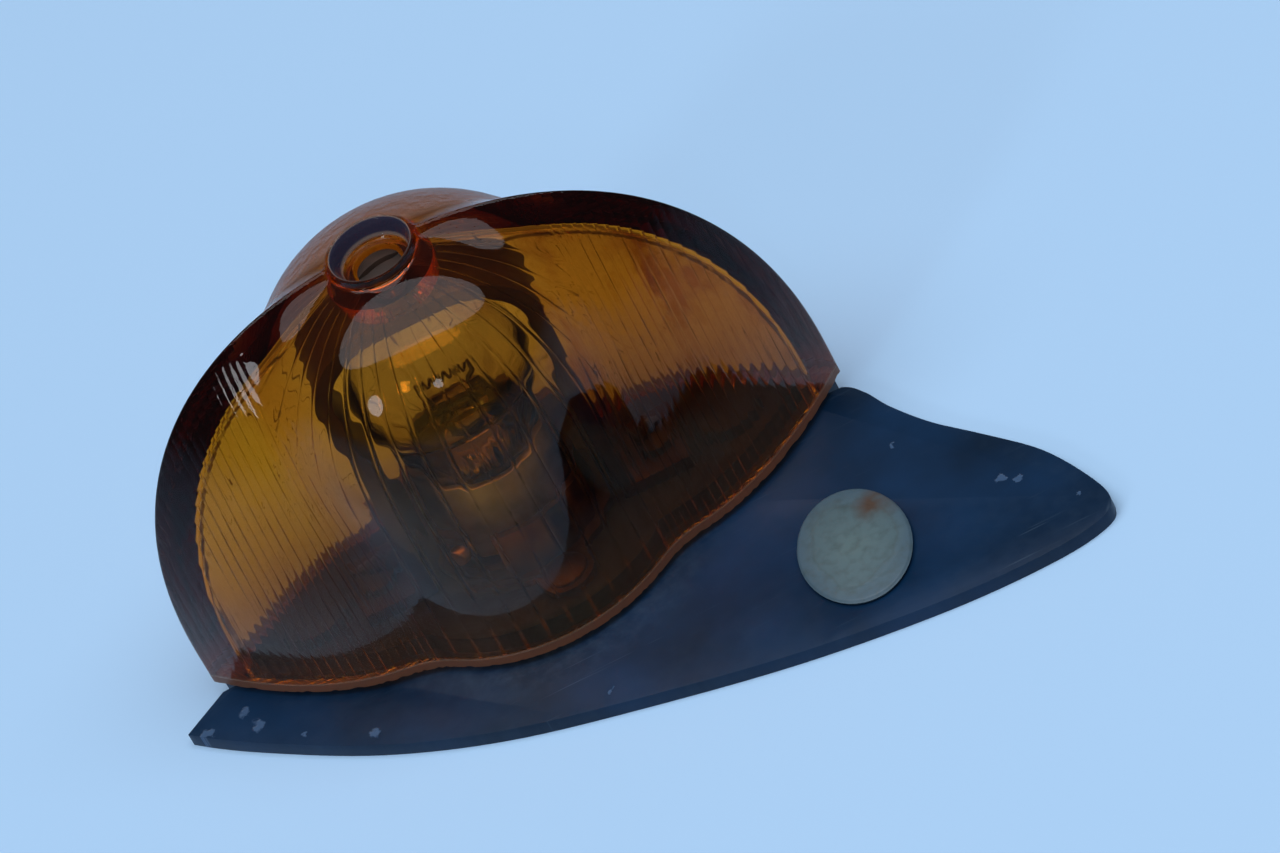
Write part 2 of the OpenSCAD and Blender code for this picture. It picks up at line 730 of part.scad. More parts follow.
base_plate();
hole_plug();
lens_gasket();
lens();
lens_screw();
screw_washer();
bridge_bracket();
bridge_screws();
holder_shell();
holder_insulator();
holder_rivets();
earth_tag();
contact_plunger();
contact_spring();
contact_tag();
bulb_glass();
bulb_cap();
bulb_pins();
bulb_insulator();
bulb_contact();
bulb_stem();
bulb_supports();
bulb_filament();
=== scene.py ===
"""Side indicator light: an amber acrylic lens with two wings on a thin painted plate."""
import math
from functools import partial

import bpy
import numpy as np
from mathutils import Matrix, Vector


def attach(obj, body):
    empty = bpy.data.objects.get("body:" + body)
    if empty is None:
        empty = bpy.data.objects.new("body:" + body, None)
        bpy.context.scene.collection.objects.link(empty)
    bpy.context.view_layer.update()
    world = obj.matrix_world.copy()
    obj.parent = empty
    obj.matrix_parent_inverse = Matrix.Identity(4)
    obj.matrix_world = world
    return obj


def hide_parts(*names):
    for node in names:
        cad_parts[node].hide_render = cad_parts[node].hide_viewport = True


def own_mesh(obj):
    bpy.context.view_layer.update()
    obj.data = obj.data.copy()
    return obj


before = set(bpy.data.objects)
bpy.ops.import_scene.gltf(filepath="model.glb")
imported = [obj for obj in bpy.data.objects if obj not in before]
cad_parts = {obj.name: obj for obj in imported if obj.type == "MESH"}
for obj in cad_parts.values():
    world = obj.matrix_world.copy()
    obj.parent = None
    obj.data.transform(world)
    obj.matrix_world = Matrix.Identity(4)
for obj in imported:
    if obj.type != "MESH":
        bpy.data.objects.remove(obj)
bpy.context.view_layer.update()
MM = 0.001

# Camera: a long lens that looks down at the light, tilted as it was held
FOCAL_PX, PHOTO_W, PHOTO_H, SENSOR_MM = 8394.8, 1280, 853, 36
VIEW_ELEVATION, VIEW_ROLL, VIEW_YAW = 41.58, -28.61, -3.37
# The pixel on which the light's axis falls at the foot of the lens, and how far away that is
AXIS_PX, AXIS_DISTANCE = (526.3, 526.1), 839.42

# The lens, in millimetres, as in the solids: heights are above its foot
FOOT_Z = 2.4
BULLET_R, DOME_H, WALL = 18.3, 23.0, 2.6
INNER_R = BULLET_R - WALL
WING_TIP, WING_RISE, WING_WAIST, WING_POWER = 35.0, 38.3, 3.3, 2.28
WING_HALF, WING_ROOT, WING_SECTION, EDGE_DEPTH = 12.3, 13.5, 1.9, 4.6
RECESS_R, LEDGE_R, RECESS_DEPTH, COLLAR_W = 4.15, 3.3, 2.2, 0.55
HEAD_HOLE_R, SCREW_HOLE_R, BOSS_R = 2.6, 1.75, 5.0
RIM_H = DOME_H + BULLET_R + 0.1
LEDGE_H, SEAT_H, BOSS_H = RIM_H - RECESS_DEPTH, 37.3, 35.4
# How far the hollow is moulded off centre, to the right
HOLLOW_SHIFT = 0.5
# The lens stands this far clear of its gasket
LENS_GAP = 0.02
# Fillets between bullet and wings outside and inside, round the collar, and in the corner at
# the wings' hollow end
WING_FILLET, HOLLOW_FILLET, COLLAR_FILLET, END_FILLET = 2.2, 2.4, 0.5, 0.25
# The wings' fillet grows from nothing to its full size between these distances from the axis
FILLET_FROM_R, FILLET_FULL_R = 4.3, 10.5
# The collar's fillet lifts the rim by a hair, which is cut flat at this height above it
RIM_BULGE = 0.03
# How much the worst chips take off the foot's edge
FOOT_CHIP = 0.25
# Pitch and depth of the flutes inside the wings and inside the bullet
WING_FLUTE, WING_FLUTE_DEPTH = 0.9, 0.045
BULLET_FLUTE, BULLET_FLUTE_DEPTH = 2.4, 0.04
# The bullet's flutes fade out over their last 8 mm, and end under the boss
FLUTE_END_H, FLUTE_FADE = 38.0, 8.0

# Edges of the copied pieces that are sharper than this are rounded, and shaded as edges
SHARP = math.radians(35)

# The oval plug, in mm: centre and half axes, and the middle of the rust stain on it
PLUG_X, PLUG_Y, PLUG_HALF_X, PLUG_HALF_Y = 29.0, -23.5, 5.8, 8.0
RUST_AT = (32.9, -19.7, 2.6)
# Paint chips on the plate, in mm: x, y and radius
CHIPS = [(-33.3, -5.5, 0.7), (-32.4, -7.9, 0.9), (-21.8, -16.8, 0.8), (-37.6, -5.8, 0.7),
         (44.7, -23.6, 0.55), (46.3, -24.7, 0.45), (50.9, -30.4, 0.45), (-28.5, -12.3, 0.4),
         (1.5, -26.2, 0.35), (36.5, -12.6, 0.4)]

# Lamps: name, place, width and depth in m, and watts. The overhead softbox lights the
# object, and the two small soft windows are there for the glints on the lens.
LAMPS = [("softbox", (0, -0.12, 1.1), 2.3, 0.8, 15.5),
         ("side_window", (-0.81, -0.69, 0.61), 0.2, 0.26, 1.5),
         ("front_window", (0.0, -0.97, 0.73), 0.12, 0.12, 0.4)]
LAMP_COLOUR = (0.93, 0.965, 1.0)


def place_camera():
    e, r = math.radians(VIEW_ELEVATION), math.radians(VIEW_ROLL)
    turn = Matrix.Rotation(math.radians(-VIEW_YAW), 3, "Z")
    right = turn @ Vector((1, 0, 0))
    back = turn @ Vector((0, -math.cos(e), math.sin(e)))
    up = turn @ Vector((0, math.sin(e), math.cos(e)))
    across = math.cos(r) * right + math.sin(r) * up
    upward = -math.sin(r) * right + math.cos(r) * up
    offset = ((AXIS_PX[0] - PHOTO_W / 2) / FOCAL_PX * across
              - (AXIS_PX[1] - PHOTO_H / 2) / FOCAL_PX * upward - back)
    eye = (Vector((0, 0, FOOT_Z)) - offset * AXIS_DISTANCE) * MM
    camera = bpy.data.objects.new("camera", bpy.data.cameras.new("camera"))
    bpy.context.collection.objects.link(camera)
    camera.data.sensor_width = SENSOR_MM
    camera.data.lens = FOCAL_PX * SENSOR_MM / PHOTO_W
    turn = Matrix((across, upward, back)).transposed().to_4x4()
    camera.matrix_world = Matrix.Translation(eye) @ turn
    bpy.context.scene.camera = camera


def linear(hex_colour):
    """A #rrggbb colour as linear red, green, blue, 1."""
    parts = [int(hex_colour[k:k + 2], 16) / 255 for k in (1, 3, 5)]
    return [c / 12.92 if c <= 0.04045 else ((c + 0.055) / 1.055) ** 2.4 for c in parts] + [1]


def add(nodes, kind, inputs=(), output=None, stops=(), **settings):
    """Add a node with its settings, and give its named output, or else the first in use.

    Inputs go in order or by name, and each is a plain value or another node's output.
    The stops of a colour ramp are (where, hex colour)."""
    node = nodes.new("ShaderNode" + kind)
    for name, value in settings.items():
        setattr(node, name, value)
    for name, value in inputs.items() if isinstance(inputs, dict) else enumerate(inputs):
        if isinstance(value, bpy.types.NodeSocket):
            node.id_data.links.new(value, node.inputs[name])
        else:
            node.inputs[name].default_value = value
    if stops:
        marks = node.color_ramp.elements
        while len(marks) < len(stops):
            marks.new(0.5)
        for mark, (at, colour) in zip(marks, stops):
            mark.position, mark.color = at, linear(colour)
    if output:
        return node.outputs[output]
    return next((socket for socket in node.outputs if socket.enabled), None)


def new_material(name):
    """An empty material, and the function that adds nodes to it."""
    material = bpy.data.materials.new(name)
    material.use_nodes = True
    material.node_tree.nodes.clear()
    return material, partial(add, material.node_tree.nodes)


def deselect():
    for o in bpy.context.selected_objects:
        o.select_set(False)


def place(o, body, material, node):
    """Gives a finished piece its material and its body, and hides the CAD node it replaces."""
    o.data.materials.clear()
    o.data.materials.append(material)
    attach(o, body)
    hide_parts(node)


def refined(node, name, edge):
    """A copy of a CAD node, its triangles merged and its sharp edges rounded by edge mm."""
    o = bpy.data.objects.new(name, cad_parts[node].data.copy())
    bpy.context.collection.objects.link(o)
    deselect()
    o.select_set(True)
    bpy.context.view_layer.objects.active = o
    bpy.ops.object.mode_set(mode="EDIT")
    bpy.ops.mesh.select_all(action="SELECT")
    bpy.ops.mesh.remove_doubles(threshold=1e-6)
    bpy.ops.mesh.dissolve_limited(angle_limit=math.radians(0.5))
    bpy.ops.object.mode_set(mode="OBJECT")
    if edge:
        bevel = o.modifiers.new("edges", "BEVEL")
        bevel.width, bevel.segments = edge * MM, 2
        bevel.limit_method, bevel.angle_limit = "ANGLE", SHARP
        bevel.miter_outer = "MITER_ARC"
        bpy.ops.object.modifier_apply(modifier=bevel.name)
    bpy.ops.object.shade_smooth_by_angle(angle=SHARP)
    return o


def blend_of(a, b, k):
    """Union of two distances, with a fillet of about k between them."""
    h = np.maximum(k - np.abs(a - b), 0) / k
    return np.minimum(a, b) - h * h * k / 4


class RimDistance:
    """How far a point in the wings' plane lies inside their rim, looked up in a table."""

    # Spacing of the table's points, and the height of its lowest row
    step, low = 0.1, -1

    def __init__(self):
        t = np.linspace(0, math.pi / 2, 600)
        x = WING_TIP * np.cos(t) ** (2 / WING_POWER)
        z = WING_WAIST + WING_RISE * np.sin(t) ** (2 / WING_POWER)
        # the rim goes on straight down, past the foot
        x = np.concatenate([[WING_TIP], x])
        z = np.concatenate([[-30.0], z])
        # the table reaches a few mm past the rim
        table_x = np.arange(0, WING_TIP + 5, self.step)
        table_z = np.arange(self.low, RIM_H + 4.6, self.step)
        px, pz = np.meshgrid(table_x, table_z, indexing="ij")
        best = np.full(px.shape, 1e9)
        for k in range(len(x) - 1):
            dx, dz = x[k + 1] - x[k], z[k + 1] - z[k]
            along = ((px - x[k]) * dx + (pz - z[k]) * dz) / (dx * dx + dz * dz)
            along = np.clip(along, 0, 1)
            best = np.minimum(best, (px - x[k] - along * dx) ** 2 + (pz - z[k] - along * dz) ** 2)
        best = np.sqrt(best)
        share = (px / WING_TIP) ** WING_POWER
        share = share + (np.maximum(pz - WING_WAIST, 0) / WING_RISE) ** WING_POWER
        self.table = np.where(share < 1, best, -best)

    def __call__(self, x, z):
        i = np.clip(np.abs(x) / self.step, 0, self.table.shape[0] - 1.001)
        j = np.clip((z - self.low) / self.step, 0, self.table.shape[1] - 1.001)
        i0, j0 = i.astype(int), j.astype(int)
        a, b = i - i0, j - j0
        t = self.table
        return ((t[i0, j0] * (1 - b) + t[i0, j0 + 1] * b) * (1 - a)
                + (t[i0 + 1, j0] * (1 - b) + t[i0 + 1, j0 + 1] * b) * a)


rim_distance = RimDistance()


def bullet(x, y, z, r):
    return np.sqrt(x * x + y * y + np.maximum(z - DOME_H, 0) ** 2) - r


def wing(y, depth, half, reach, blunt, soft):
    """Distance outside a wing pair, where depth says how far inside its rim a point lies.

    The wings grow from blunt at the rim to half at reach, and soft rounds their edge."""
    q = np.clip(1 - depth / reach, 0, None)
    inside = np.minimum(q, 1)
    thick = blunt + (half - blunt) * (1 - inside ** WING_SECTION)
    slope = (half - blunt) * WING_SECTION / reach * inside ** (WING_SECTION - 1)
    thick = np.where(q > 1, blunt + slope * depth, thick)
    return (np.sqrt(y * y + soft * soft) - soft - thick) / np.sqrt(1 + slope * slope)


def outer_shape(x, y, z):
    wings = wing(y, rim_distance(x, z), WING_HALF, WING_TIP - WING_ROOT, blunt=0, soft=0.15)
    # the fillet dies out where the wings' ridge runs into the collar of the recess
    fading = (np.hypot(x, y) - FILLET_FROM_R) / (FILLET_FULL_R - FILLET_FROM_R)
    fillet = WING_FILLET * np.clip(fading, 0.02, 1)
    body = blend_of(bullet(x, y, z, BULLET_R), wings, fillet)
    collar = np.maximum(np.hypot(x, y) - (RECESS_R + COLLAR_W), z - RIM_H)
    return np.maximum(blend_of(body, collar, COLLAR_FILLET), z - RIM_H - RIM_BULGE)


def flute(place_along, depth):
    """A convex flute, from depth in its middle to 0 at the valleys."""
    u = place_along - np.floor(place_along) - 0.5
    return depth * (1 - 4 * u * u)


def hollow_shape(x, y, z):
    depth = rim_distance(x - HOLLOW_SHIFT, z) - EDGE_DEPTH
    reach = WING_TIP - EDGE_DEPTH - (WING_ROOT - 0.8 * WALL)
    wings = wing(y, depth, WING_HALF - WALL, reach, blunt=0.38, soft=0.05)
    wings = -blend_of(-wings, depth, END_FILLET)
    wings = wings + flute(x / WING_FLUTE, WING_FLUTE_DEPTH)
    fade = np.clip((FLUTE_END_H - z) / FLUTE_FADE, 0, 1)
    turn = np.arctan2(y, x) * INNER_R / BULLET_FLUTE
    middle = bullet(x, y, z, INNER_R) + flute(turn, BULLET_FLUTE_DEPTH) * fade
    return blend_of(middle, wings, HOLLOW_FILLET)


def reach_of(shape, start, along, low=1.0, high=60.0):
    """The points where rays leave a shape, by halving the way from low to high."""
    low, high = np.full(len(start), low), np.full(len(start), high)
    for _ in range(36):
        middle = (low + high) / 2
        p = start + along * middle[:, None]
        inside = shape(p[:, 0], p[:, 1], p[:, 2]) < 0
        low, high = np.where(inside, middle, low), np.where(inside, high, middle)
    return start + along * ((low + high) / 2)[:, None]


def azimuths():
    """Angles of the lens's columns, closer together on the fluted wings."""
    # how far round from its tip a wing reaches
    wing_end = 42
    wing_part = np.concatenate([[0, 0.2, 0.45], np.linspace(0.75, wing_end, 150)])
    middle = np.linspace(wing_end, 90, 40)[1:]
    quarter = np.concatenate([wing_part, middle])
    half = np.concatenate([quarter, 180 - quarter[-2::-1]])
    return np.radians(np.concatenate([half, 360 - half[-2:0:-1]]))


def rays(angles, elevations):
    """Directions from the foot's centre, one row of them for each elevation."""
    for e in np.radians(elevations):
        yield np.stack([math.cos(e) * np.cos(angles), math.cos(e) * np.sin(angles),
                        np.full(len(angles), math.sin(e))], axis=1)


def ring(angles, r, z):
    """Points on a circle round the light's axis."""
    level = np.full(len(angles), float(z))
    return np.stack([r * np.cos(angles), r * np.sin(angles), level], axis=1)


def lens_rows():
    """The lens's skin as rings of points: up inside, out through the recess, down outside.

    The second result says which rings lie on the fluted hollow."""
    a = azimuths()
    foot_centre = np.zeros((len(a), 3))
    up = np.tile([0, 0, 1.0], (len(a), 1))

    def above(shape, r):
        """Where a shape lies straight above a circle half way up the hollow."""
        return reach_of(shape, ring(a, r, 20), up, 0.0, 30.0)

    boss_edge = math.degrees(math.atan2(BOSS_H, BOSS_R))
    rows = [reach_of(hollow_shape, foot_centre, along)
            for along in rays(a, np.concatenate([[0, 0.6], np.linspace(2, boss_edge - 1.2, 42)]))]
    fluted = len(rows)
    # the boss, with a little draft, and the screw's way through it
    rows.append(above(hollow_shape, BOSS_R + 0.28))
    for r, z in ((BOSS_R, BOSS_H + 0.25), (BOSS_R - 0.25, BOSS_H),
                 (SCREW_HOLE_R + 0.1, BOSS_H), (SCREW_HOLE_R, BOSS_H + 0.1),
                 (SCREW_HOLE_R, SEAT_H - 0.02), (SCREW_HOLE_R + 0.02, SEAT_H),
                 (HEAD_HOLE_R - 0.05, SEAT_H), (HEAD_HOLE_R, SEAT_H + 0.05),
                 (HEAD_HOLE_R, LEDGE_H - 0.12), (HEAD_HOLE_R + 0.12, LEDGE_H),
                 (LEDGE_R - 0.1, LEDGE_H), (LEDGE_R + 0.05, LEDGE_H + 0.1)):
        rows.append(ring(a, r, z))
    # the recess's wall, which opens a little towards its rounded rim
    for share in (0.3, 0.55, 0.8):
        r = LEDGE_R + (RECESS_R - LEDGE_R) * share + 0.03
        rows.append(ring(a, r, LEDGE_H + RECESS_DEPTH * share))
    rows.append(ring(a, RECESS_R - 0.02, RIM_H - 0.18))
    rows.append(above(outer_shape, RECESS_R + 0.05) - 0.07 * up)
    for r in (RECESS_R + 0.16, 4.4, 4.52, 4.62, 4.72, 4.84, 5.0, 5.25, 5.6, 6.1, 6.8, 7.6):
        rows.append(above(outer_shape, r))
    for along in rays(a, np.concatenate([np.linspace(78, 1.6, 52), [0.8, 0]])):
        rows.append(reach_of(outer_shape, foot_centre, along))
    # the foot's edge is chipped here and there
    worn = np.abs(np.sin(a * 23 + 1.7 * np.sin(a * 41)) * np.sin(a * 57 + 2 * np.sin(a * 13)))
    for row, share in ((rows[-1], 1.0), (rows[-2], 0.6)):
        row[:, 2] += share * FOOT_CHIP * np.clip(worn - 0.35, 0, 1)
    return rows, np.arange(len(rows)) < fluted


def make_lens():
    """The lens as one closed skin. Each point knows whether it lies on the fluted hollow, and
    how far from the hollow's end, in mm."""
    rows, hollow = lens_rows()
    points = np.stack(rows, axis=1)
    points[:, :, 2] += FOOT_Z + LENS_GAP
    # the sheet is closed both ways: its last row and column lie on the first ones
    points = np.concatenate([points, points[:, :1]], axis=1)
    points = np.concatenate([points, points[:1]], axis=0)
    hollow = np.append(hollow, hollow[0])
    # a flat grid, whose points then go to their places
    deselect()
    bpy.ops.mesh.primitive_grid_add(x_subdivisions=points.shape[1] - 1,
                                    y_subdivisions=points.shape[0] - 1, size=0.05)
    o = bpy.context.object
    o.name = "amber_lens"
    assert len(o.data.vertices) == points.shape[0] * points.shape[1]
    o.data.vertices.foreach_set("co", (points * MM).ravel())
    inside = o.data.attributes.new("hollow", "FLOAT", "POINT")
    inside.data.foreach_set("value", np.tile(hollow.astype(float), points.shape[0]))
    x, y, z = points[:, :, 0], points[:, :, 1], points[:, :, 2] - FOOT_Z - LENS_GAP
    depth = rim_distance(x - HOLLOW_SHIFT, z) - EDGE_DEPTH
    # only the narrow end counts, and not the bullet or the wings' broad sides
    away = np.maximum(np.abs(y) - 1.2, 0) * 2 + np.maximum(10 - np.abs(x), 0)
    from_end = o.data.attributes.new("from_end", "FLOAT", "POINT")
    from_end.data.foreach_set("value", np.where(hollow, depth + away, 9.0).ravel())
    o.data.update()
    bpy.ops.object.mode_set(mode="EDIT")
    bpy.ops.mesh.select_all(action="SELECT")
    bpy.ops.mesh.remove_doubles(threshold=1e-7)
    bpy.ops.mesh.normals_make_consistent(inside=False)
    bpy.ops.object.mode_set(mode="OBJECT")
    bpy.ops.object.shade_smooth_by_angle(angle=math.radians(40))
    return o


def amber_acrylic():
    """Moulded amber acrylic: it looks wet and deep, golden where light comes through two walls
    and near black in the solid edge. Dark lines of dust sit in the valleys of the flutes inside,
    partly painted shade, and a line of painted shade runs where the hollow ends. The wall of the
    screw's recess carries a painted reflection of the sky, the chafed crests near the foot a
    painted highlight, and the rear of the dome is satin from weather."""
    material, node = new_material("amber_acrylic")
    place_of = node("TexCoord", output="Object")
    split = node("SeparateXYZ", [place_of]).node
    x_mm, y_mm, z_mm = (node("Math", [split.outputs[axis], 1 / MM], operation="MULTIPLY")
                        for axis in "XYZ")
    radius = node("VectorMath", [node("CombineXYZ", [x_mm, y_mm])], operation="LENGTH")
    off_axis = node("Math", [x_mm], operation="ABSOLUTE")
    hollow = node("Attribute", output="Fac", attribute_name="hollow")
    outside = node("Math", [1.0, hollow], operation="SUBTRACT")

    # place across the flutes: along X on the wings, round the axis on the bullet
    angle = node("Math", [y_mm, x_mm], operation="ARCTAN2")
    across = node("Mix", {
        "Factor": node("Math", [radius, INNER_R + 0.3], operation="GREATER_THAN"),
        "A": node("Math", [angle, INNER_R / BULLET_FLUTE], operation="MULTIPLY"),
        "B": node("Math", [x_mm, WING_FLUTE], operation="DIVIDE")}, data_type="FLOAT")
    share = node("Math", [across], operation="FRACT")
    off_middle = node("Math", [share, 0.5], operation="SUBTRACT")
    off_middle = node("Math", [off_middle], operation="ABSOLUTE")
    # 0 along the middle of a flute and 1 in the valley between two
    valley = node("Math", [off_middle, 2.0], operation="MULTIPLY")

    # each valley has its own amount of dust, which also changes along it; the dark lines of dust
    # are partly painted shade, standing in for the dark lines the cusps throw
    lane = node("CombineXYZ", [node("Math", [across], operation="ROUND"),
                               node("Math", [z_mm, 0.12], operation="MULTIPLY")])
    amount = node("TexNoise", {"Vector": lane, "Scale": 1.7, "Detail": 3.0})
    dust = node("Math", [node("MapRange", [valley, 0.86, 0.97]),
                         node("MapRange", [amount, 0.48, 0.6])], operation="MULTIPLY")
    dust = node("Math", [dust, hollow], operation="MULTIPLY")
    # a dark line of painted shade in the corner where the hollow ends
    corner_shade = node("Attribute", output="Fac", attribute_name="from_end")
    corner_shade = node("Math", [corner_shade, 0.34], operation="SUBTRACT")
    corner_shade = node("MapRange", [node("Math", [corner_shade], operation="ABSOLUTE"), 0.16, 0.08])
    corner_shade = node("Math", [corner_shade, node("MapRange", [amount, 0.25, 0.45])], operation="MULTIPLY")
    # the dust in the valleys, partly painted shade, with the painted shade in the corner
    dirt = node("Math", [dust, corner_shade], operation="MAXIMUM")

    # the acrylic is tinted a deeper orange on the bullet and towards the right
    to_right = node("MapRange", [x_mm, -8.0, 14.0])
    on_bullet = node("MapRange", [radius, 19.0, 16.5, 0.0, 0.42])
    deeper = node("Math", [node("Math", [to_right, 0.5], operation="MULTIPLY"), on_bullet],
                  operation="MAXIMUM")
    colour = node("ValToRGB", [deeper], stops=[(0.0, "#ffffff"), (1.0, "#e6b05c")])
    # red-brown smudges inside on the right, drawn out along the flutes
    smear = node("VectorMath", [place_of, (150.0, 150.0, 60.0)], operation="MULTIPLY")
    smudge = node("TexNoise", {"Vector": smear, "Detail": 4.0, "Roughness": 0.6, "Scale": 1.0})
    smudge = node("Math", [node("MapRange", [smudge, 0.5, 0.64, 0.0, 0.9]), hollow],
                  operation="MULTIPLY")
    smudge = node("Math", [smudge, to_right], operation="MULTIPLY")

    # the dome is satin behind, and its ridge less so
    outer_top = node("Math", [node("MapRange", [z_mm, 21.0, 28.0]),
                              node("MapRange", [radius, RECESS_R + 0.1, RECESS_R + 0.4])],
                     operation="MULTIPLY")
    outer_top = node("Math", [outer_top, outside], operation="MULTIPLY")
    behind = node("Math", [off_axis, -0.25, y_mm], operation="MULTIPLY_ADD")
    satin = node("Math", [node("MapRange", [behind, 0.8, 2.4]),
                          node("MapRange", [radius, 19.0, 17.5])], operation="MULTIPLY")
    satin = node("Math", [satin, outer_top], operation="MULTIPLY")
    ridge = node("Math", [node("MapRange", [y_mm, 0.2, 0.8]),
                          node("MapRange", [radius, 14.0, 10.0])], operation="MULTIPLY")
    ridge = node("Math", [ridge, outer_top], operation="MULTIPLY")
    # the foot's edge is chafed dull
    chafed = node("Math", [node("MapRange", [z_mm, FOOT_Z + 1.25, FOOT_Z + 0.95]), outside],
                  operation="MULTIPLY")
    dull = node("Math", [node("Math", [satin, chafed], operation="MAXIMUM"), ridge],
                operation="MAXIMUM")
    gloss = node("Math", [dull, 0.35, 0.015], operation="MULTIPLY_ADD")
    # a film of road dust on the lower part outside, in patches of about 5 mm
    patchy = node("TexNoise", {"Vector": place_of, "Scale": 200.0, "Detail": 5.0})
    patchy = node("Math", [patchy, 0.8, 0.4], operation="MULTIPLY_ADD")
    film = node("Math", [node("MapRange", [z_mm, 17.0, 6.0]), outside], operation="MULTIPLY")
    film = node("Math", [film, patchy], operation="MULTIPLY")
    # near the foot the crests between the flutes are chafed, and painted paler as a painted
    # highlight where they catch the light
    crest_wear_and_highlight = node("Math", [node("MapRange", [valley, 0.78, 0.95]),
                          node("MapRange", [z_mm, FOOT_Z + 4.2, FOOT_Z + 2.6])],
                 operation="MULTIPLY")
    uneven = node("Math", [node("MapRange", [amount, 0.38, 0.58]), hollow], operation="MULTIPLY")
    crest_wear_and_highlight = node("Math", [crest_wear_and_highlight, uneven], operation="MULTIPLY")
    # a painted blue-grey reflection of the sky on the wall of the screw's recess, which greys it
    ledge_z = FOOT_Z + LEDGE_H
    recess_painted_reflection = node("Math", [node("MapRange", [radius, RECESS_R + 0.2, RECESS_R + 0.05]),
                          node("MapRange", [z_mm, ledge_z + 0.3, ledge_z + 0.8])],
                 operation="MULTIPLY")
    recess_painted_reflection = node("Math", [recess_painted_reflection, outside], operation="MULTIPLY")

    # each of these tints the acrylic, and some stop a share of the light through it. The dark
    # dirt tint is partly painted shade, the pale crest tint partly a painted highlight, and the
    # blue-grey recess tint a painted reflection
    clear = 1.0
    for mask, tint, stopped in (
            (smudge, "#a45a30", 0), (dirt, "#4a3418", 0), (film, "#c8b290", 0.05),
            (satin, "#d8a78e", 0.16), (chafed, "#785645", 0.65), (crest_wear_and_highlight, "#e0a878", 0.3),
            (recess_painted_reflection, "#3c3c54", 0.5)):
        colour = node("Mix", {"Factor": mask, "A": colour, "B": linear(tint)}, data_type="RGBA")
        if stopped:
            clear = node("Math", [mask, -stopped, clear], operation="MULTIPLY_ADD")

    # stipple of about 1 mm on the satin, slow waves of about 11 mm all over, and cusps between
    # the flutes, which show through on the outside of the wings as faint sink marks
    stipple = node("TexNoise", {"Vector": place_of, "Scale": 950.0, "Detail": 3.0})
    stipple = node("Math", [stipple, satin], operation="MULTIPLY")
    waves = node("TexNoise", {"Vector": place_of, "Scale": 90.0, "Detail": 1.0})
    height = node("Math", [waves, 0.12], operation="MULTIPLY")
    height = node("Math", [stipple, 0.34, height], operation="MULTIPLY_ADD")
    sunk = node("Math", [node("MapRange", [off_axis, 11.5, 14.0, 0.0, 0.016]), outside],
                operation="MULTIPLY")
    sunk = node("Math", [sunk, node("Math", [valley, 2.0], operation="POWER")],
                operation="MULTIPLY")
    height = node("Math", [height, sunk], operation="SUBTRACT")
    cusp = node("Math", [node("Math", [valley, 6.0], operation="POWER"), hollow],
                operation="MULTIPLY")
    height = node("Math", [cusp, -0.035, height], operation="MULTIPLY_ADD")
    skin = node("BsdfPrincipled", {
        "Base Color": colour, "Roughness": gloss, "IOR": 1.49, "Transmission Weight": clear,
        "Specular Tint": (0.35, 0.34, 0.35, 1.0),
        "Normal": node("Bump", {"Strength": 1.0, "Distance": MM, "Height": height})})
    skin.node.inputs["Transmission Weight"].default_value = 1.0
    # light falls through the lens onto what is inside, tinted by the volume
    lit = node("MixShader", [node("LightPath", output="Is Shadow Ray"), skin,
                             node("BsdfTransparent", {"Color": (0.6, 0.6, 0.6, 1)})])
    amber = node("VolumeAbsorption", {"Color": (0.92, 0.706, 0.036, 1), "Density": 690.0})
    node("OutputMaterial", {"Surface": lit, "Volume": amber})
    return material


def clear_glass():
    """Clear bulb glass, greyed a little by the metal that the filament has given off."""
    material, node = new_material("bulb_glass_clear")
    clouds = node("TexNoise", {"Vector": node("TexCoord", output="Object"), "Scale": 160.0,
                               "Detail": 2.0})
    grey = node("ValToRGB", [clouds], stops=[(0.3, "#fbfaf8"), (0.7, "#f0ebe3")])
    skin = node("BsdfPrincipled", {"Base Color": grey, "Roughness": 0.02, "IOR": 1.5,
                                   "Transmission Weight": 1.0})
    node("OutputMaterial", {"Surface": skin})
    return material


def plain_finish(name, dark, pale, roughness, metallic):
    """A finish whose colour and gloss drift between two tones over 2.5 mm, with a fine grain."""
    material, node = new_material(name)
    place_of = node("TexCoord", output="Object")
    drift = node("TexNoise", {"Vector": place_of, "Scale": 400.0, "Detail": 5.0})
    # a grain of about 0.3 mm, coarser than the real one, which would not show
    grain = node("TexNoise", {"Vector": place_of, "Scale": 3200.0, "Detail": 3.0})
    skin = node("BsdfPrincipled", {
        "Base Color": node("ValToRGB", [drift], stops=[(0.3, dark), (0.7, pale)]),
        "Roughness": node("MapRange", [drift, 0.0, 1.0, roughness - 0.08, roughness + 0.1]),
        "Metallic": metallic,
        "Normal": node("Bump", {"Strength": 0.05, "Distance": 0.0005, "Height": grain})})
    node("OutputMaterial", {"Surface": skin})
    return material


